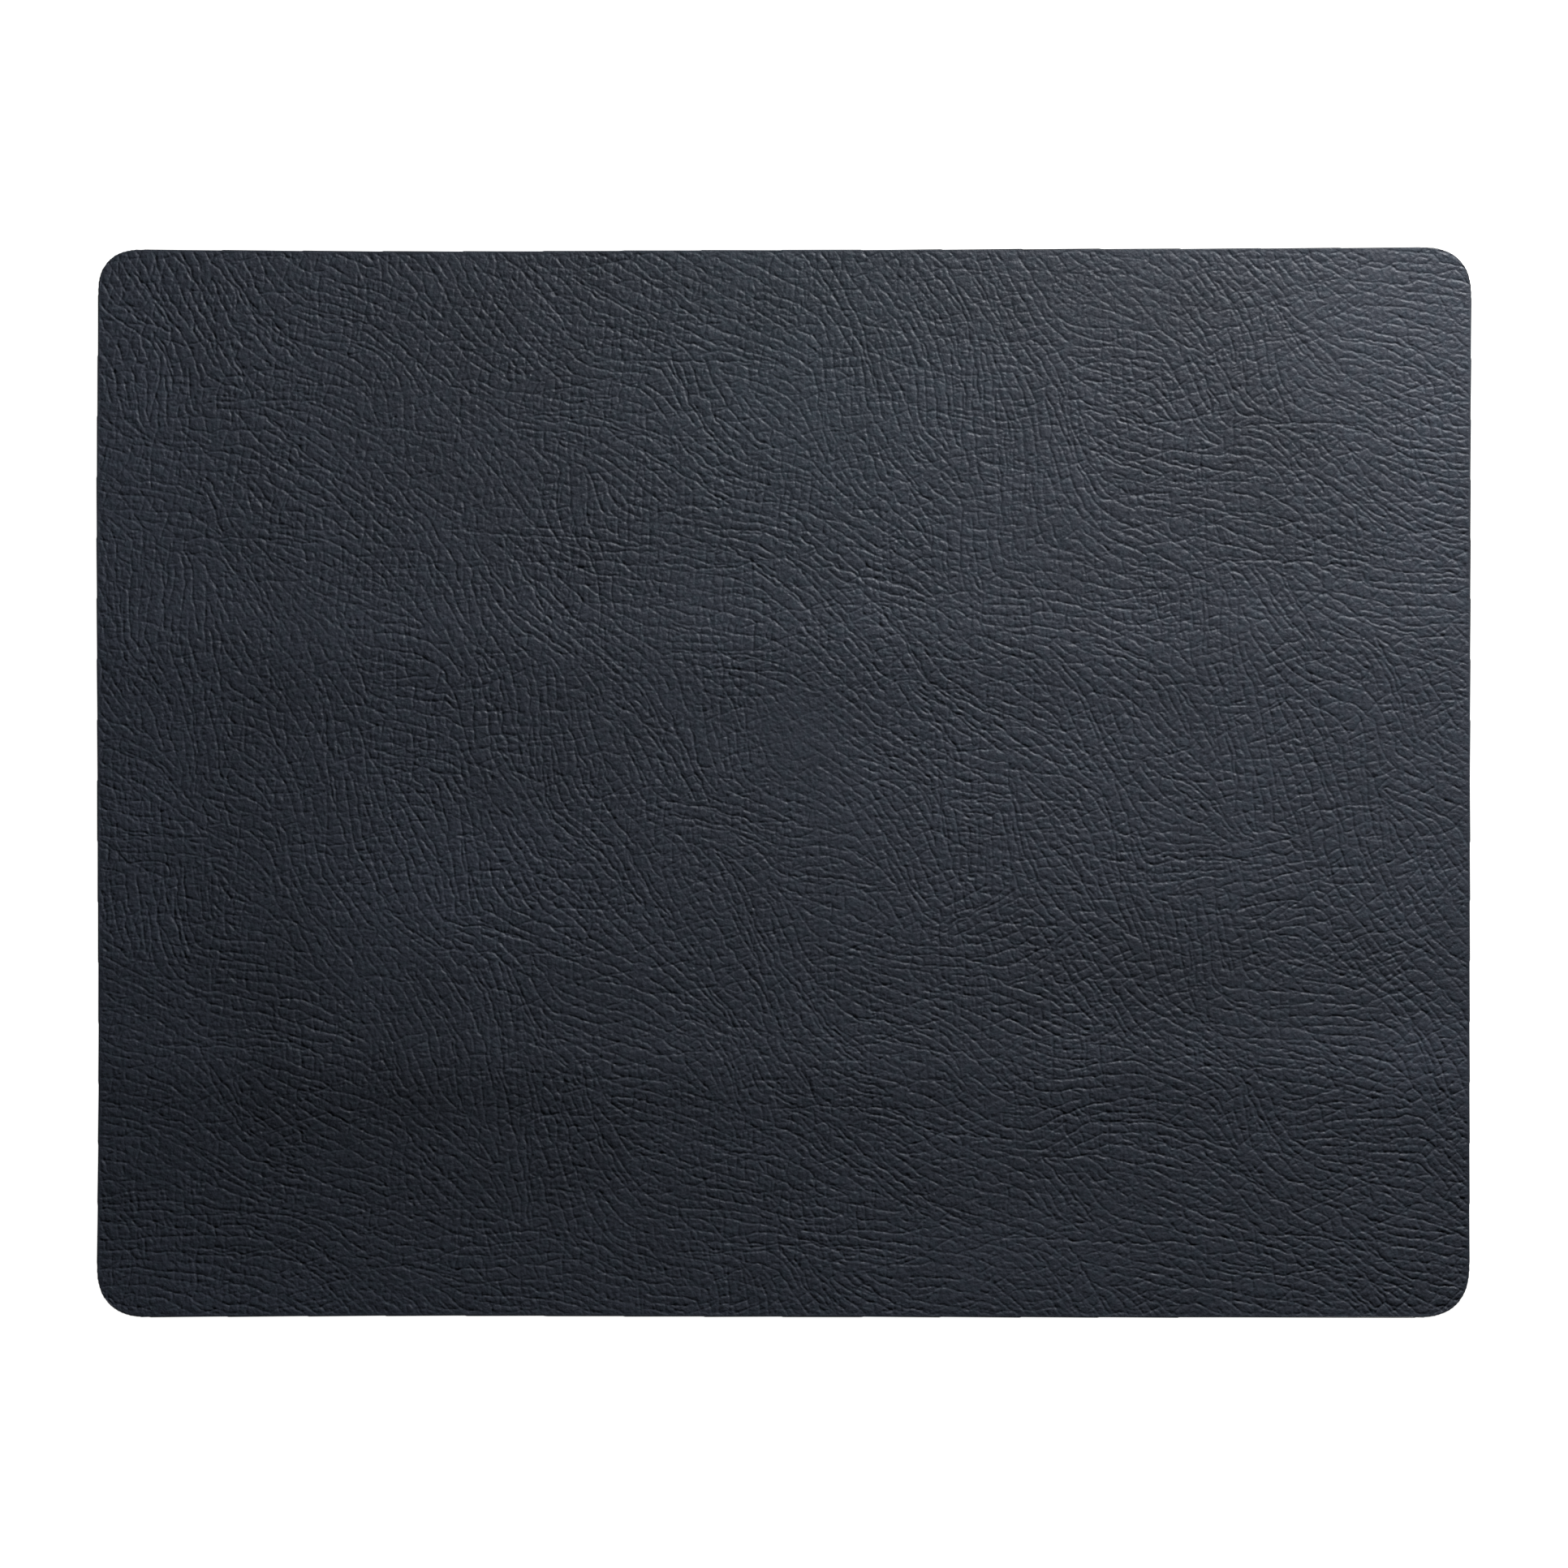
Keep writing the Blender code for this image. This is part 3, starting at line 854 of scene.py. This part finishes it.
class Shader:
    """A material's node tree, with short calls for the nodes used here."""

    def __init__(self, name):
        self.material = bpy.data.materials.new(name)
        self.material.use_nodes = True
        self.nodes = self.material.node_tree.nodes
        self.links = self.material.node_tree.links
        self.surface = self.nodes["Principled BSDF"]
        self.coordinates = self.nodes.new("ShaderNodeTexCoord").outputs["Object"]

    def set(self, **values):
        for name, value in values.items():
            self.surface.inputs[name.replace("_", " ")].default_value = value

    def feed(self, name, output):
        self.links.new(output, self.surface.inputs[name])

    def noise(self, size, detail=2.0, stretch=(1.0, 1.0, 1.0), roughness=0.5):
        """Noise with features of about size millimetres, from 0 to 1."""
        place = self.nodes.new("ShaderNodeMapping")
        place.inputs["Scale"].default_value = [factor / (size * MM) for factor in stretch]
        self.links.new(self.coordinates, place.inputs["Vector"])
        noise = self.nodes.new("ShaderNodeTexNoise")
        noise.inputs["Scale"].default_value = 1.0
        noise.inputs["Detail"].default_value = detail
        noise.inputs["Roughness"].default_value = roughness
        self.links.new(place.outputs["Vector"], noise.inputs["Vector"])
        return noise.outputs["Fac"]

    def cells(self, size):
        """Rounded cells of about size millimetres: the distance from the nearest cell's middle."""
        cells = self.nodes.new("ShaderNodeTexVoronoi")
        cells.feature = "SMOOTH_F1"
        cells.inputs["Scale"].default_value = 1.0 / (size * MM)
        self.links.new(self.coordinates, cells.inputs["Vector"])
        return cells.outputs["Distance"]

    def attribute(self, name):
        attribute = self.nodes.new("ShaderNodeAttribute")
        attribute.attribute_name = name
        return attribute.outputs["Fac"]

    def math(self, operation, *values):
        node = self.nodes.new("ShaderNodeMath")
        node.operation = operation
        for socket, value in zip(node.inputs, values):
            if isinstance(value, float):
                socket.default_value = value
            else:
                self.links.new(value, socket)
        return node.outputs["Value"]

    def mapped(self, value, low, high, start=0.0, end=1.0):
        """The value's range from start to end, spread over low to high."""
        node = self.nodes.new("ShaderNodeMapRange")
        for name, number in (("From Min", start), ("From Max", end), ("To Min", low), ("To Max", high)):
            node.inputs[name].default_value = number
        self.links.new(value, node.inputs["Value"])
        return node.outputs["Result"]

    def mixed(self, share, first, second):
        """A colour between first and second, which are colours or sockets."""
        node = self.nodes.new("ShaderNodeMix")
        node.data_type = "RGBA"
        self.links.new(share, node.inputs["Factor"])
        for socket, value in ((node.inputs[6], first), (node.inputs[7], second)):
            if isinstance(value, tuple):
                socket.default_value = (*value, 1.0)
            else:
                self.links.new(value, socket)
        return node.outputs[2]

    def scaled(self, colour, factor):
        node = self.nodes.new("ShaderNodeVectorMath")
        node.operation = "SCALE"
        self.links.new(colour, node.inputs[0])
        self.links.new(factor, node.inputs["Scale"])
        return node.outputs["Vector"]

    def bump(self, height, depth, under=None):
        """A bump whose height of 1 stands for depth millimetres, on top of the one under it."""
        node = self.nodes.new("ShaderNodeBump")
        node.inputs["Strength"].default_value = 1.0
        node.inputs["Distance"].default_value = depth * MM
        self.links.new(height, node.inputs["Height"])
        if under is not None:
            self.links.new(under, node.inputs["Normal"])
        return node.outputs["Normal"]


def leather_material():
    """Leather: blue dye, with the light's sheen painted in as a greyer tint towards the back right, teal at
    the back, darker in the creases from dye and painted shade, with random clouds, painted broad light and
    shade and a satin finish.
    """
    blue, painted_sheen_tint = (0.0207, 0.0246, 0.0359), (0.0224, 0.0247, 0.0318)
    teal_fleck, teal_wash = (0.0160, 0.0256, 0.0334), (0.0168, 0.0250, 0.0322)
    dark_speck, crease_dye_and_painted_shade = (0.0174, 0.0205, 0.0284), (0.0115, 0.0134, 0.0180)
    shader = Shader("leather")
    crease = shader.attribute("crease")
    # Painted sheen: the base colour turns from blue to a greyer tint towards the back right, under the light.
    leather_colour = shader.mixed(shader.attribute("toward_light"), blue, painted_sheen_tint)
    flecks = shader.mapped(shader.noise(3.2, 3.0), 0.0, 1.0, 0.48, 0.60)
    greener = shader.mapped(shader.attribute("greener"), 0.55, 1.0)
    leather_colour = shader.mixed(shader.math("MULTIPLY", flecks, greener), leather_colour, teal_fleck)
    teal = shader.math("MULTIPLY", shader.attribute("greener"), 0.60)
    leather_colour = shader.mixed(teal, leather_colour, teal_wash)
    speckle = shader.mapped(shader.noise(0.7, 2.0), 0.0, 1.0, 0.3, 0.7)
    leather_colour = shader.mixed(speckle, dark_speck, leather_colour)
    # Darker in the creases: partly a darker dye there, partly painted shade.
    leather_colour = shader.mixed(shader.math("MULTIPLY", crease, 0.12), leather_colour, crease_dye_and_painted_shade)
    clouds = shader.mapped(shader.noise(18.0, 3.0), -0.08, 0.08, 0.3, 0.7)
    # The base colour is scaled by the painted light and shade of the patches, and by random clouds.
    lighter = shader.math("ADD", shader.math("ADD", shader.attribute("painted_shading"), clouds), 1.0)
    shader.feed("Base Color", shader.scaled(leather_colour, lighter))
    shader.feed("Roughness", shader.mapped(shader.noise(1.6, 2.0), 0.46, 0.56, 0.3, 0.7))
    shader.feed("Specular IOR Level", shader.mapped(shader.attribute("toward_light"), 0.27, 0.21))
    shader.surface.inputs["Specular Tint"].default_value = (0.95, 0.97, 1.0, 1.0)
    pores = shader.bump(shader.cells(0.55), 0.06)
    shader.feed("Normal", shader.bump(shader.noise(0.42, 3.0, roughness=0.65), 0.11, under=pores))
    return shader.material


def edge_paint_material():
    shader = Shader("edge_paint")
    uneven = shader.noise(3.0, 3.0)
    shader.feed("Base Color", shader.mixed(uneven, (0.0035, 0.0042, 0.0055), (0.0060, 0.0070, 0.0088)))
    shader.feed("Roughness", shader.mapped(uneven, 0.30, 0.48, 0.3, 0.7))
    shader.feed("Normal", shader.bump(shader.noise(0.8, 2.0), 0.04))
    return shader.material


def microfibre_material():
    shader = Shader("microfibre")
    nap = shader.noise(0.35, 4.0, stretch=(1.0, 0.4, 1.0), roughness=0.7)
    shade = shader.noise(14.0, 2.0)
    worn = shader.mixed(shade, (0.026, 0.027, 0.030), (0.042, 0.043, 0.047))
    shader.feed("Base Color", shader.mixed(nap, (0.016, 0.017, 0.019), worn))
    shader.feed("Roughness", shader.mapped(nap, 0.86, 1.0))
    shader.set(Sheen_Weight=0.35, Sheen_Roughness=0.4, Specular_IOR_Level=0.2)
    shader.feed("Normal", shader.bump(nap, 0.12))
    return shader.material


def fibre_board_material():
    shader = Shader("fibre_board")
    shreds = shader.noise(1.8, 4.0, stretch=(1.0, 3.0, 1.0), roughness=0.7)
    shader.feed("Base Color", shader.mixed(shreds, (0.14, 0.085, 0.045), (0.38, 0.26, 0.16)))
    shader.feed("Roughness", shader.mapped(shreds, 0.75, 0.95))
    shader.feed("Normal", shader.bump(shreds, 0.08))
    return shader.material


def adhesive_material():
    shader = Shader("adhesive")
    strokes = shader.noise(5.0, 3.0, stretch=(0.3, 1.0, 1.0))
    shader.feed("Base Color", shader.mixed(strokes, (0.42, 0.33, 0.17), (0.66, 0.56, 0.36)))
    shader.feed("Roughness", shader.mapped(strokes, 0.40, 0.70))
    shader.feed("Normal", shader.bump(strokes, 0.05))
    return shader.material


def floor_material():
    shader = Shader("floor")
    shader.set(Base_Color=(0.30, 0.30, 0.30, 1.0), Roughness=0.9, Specular_IOR_Level=0.1)
    shader.set(Emission_Color=(1.0, 1.0, 1.0, 1.0), Emission_Strength=1.0)
    return shader.material


# ---------------------------------------------------------------- stage


def make_floor():
    size = 30.0
    corners = np.array([(-1, -1, 0), (1, -1, 0), (1, 1, 0), (-1, 1, 0)], float) * size / 2 / MM
    floor = make_mesh_object("floor", corners, np.array([[0, 1, 2, 3]]))
    floor.location.z = -0.02 * MM
    floor.data.materials.append(floor_material())


def make_light(name, place, size, power):
    """A round area light, placed and sized in metres, that faces the mat and doesn't show itself."""
    light = bpy.data.lights.new(name, "AREA")
    light.shape = "DISK"
    light.size = size
    light.energy = power
    thing = bpy.data.objects.new(name, light)
    thing.location = place
    thing.rotation_mode = "QUATERNION"
    thing.rotation_quaternion = (-Vector(place)).to_track_quat("-Z", "Y")
    thing.visible_camera = False
    bpy.context.scene.collection.objects.link(thing)


def make_world(strength):
    world = bpy.data.worlds.new("studio")
    world.use_nodes = True
    background = world.node_tree.nodes["Background"]
    background.inputs["Color"].default_value = (1.0, 1.0, 1.0, 1.0)
    background.inputs["Strength"].default_value = strength
    bpy.context.scene.world = world


def make_camera():
    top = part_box("leather_face")[1].z
    distance = CAMERA_LENS / SENSOR_WIDTH * VIEW_WIDTH * MM
    camera = bpy.data.cameras.new("camera")
    camera.lens = CAMERA_LENS
    camera.sensor_width = SENSOR_WIDTH
    thing = bpy.data.objects.new("camera", camera)
    thing.location = (CAMERA_AT[0] * MM, CAMERA_AT[1] * MM, top + distance)
    bpy.context.scene.collection.objects.link(thing)
    bpy.context.scene.camera = thing


def make_stage():
    make_camera()
    make_floor()
    make_light("key", KEY_PLACE, KEY_SIZE, KEY_POWER)
    make_world(SURROUND)
    bpy.context.scene.view_settings.view_transform = "Standard"


def dress_inner_layers():
    """The layers that keep their CAD shapes get their materials."""
    adhesive = adhesive_material()
    finishes = {"face_adhesive": adhesive, "backing_adhesive": adhesive, "fibre_core": fibre_board_material()}
    for node, material in finishes.items():
        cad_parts[node].material_slots[0].material = material


make_stage()
make_leather(leather_material())
make_edge_paint(edge_paint_material())
make_backing(microfibre_material())
dress_inner_layers()
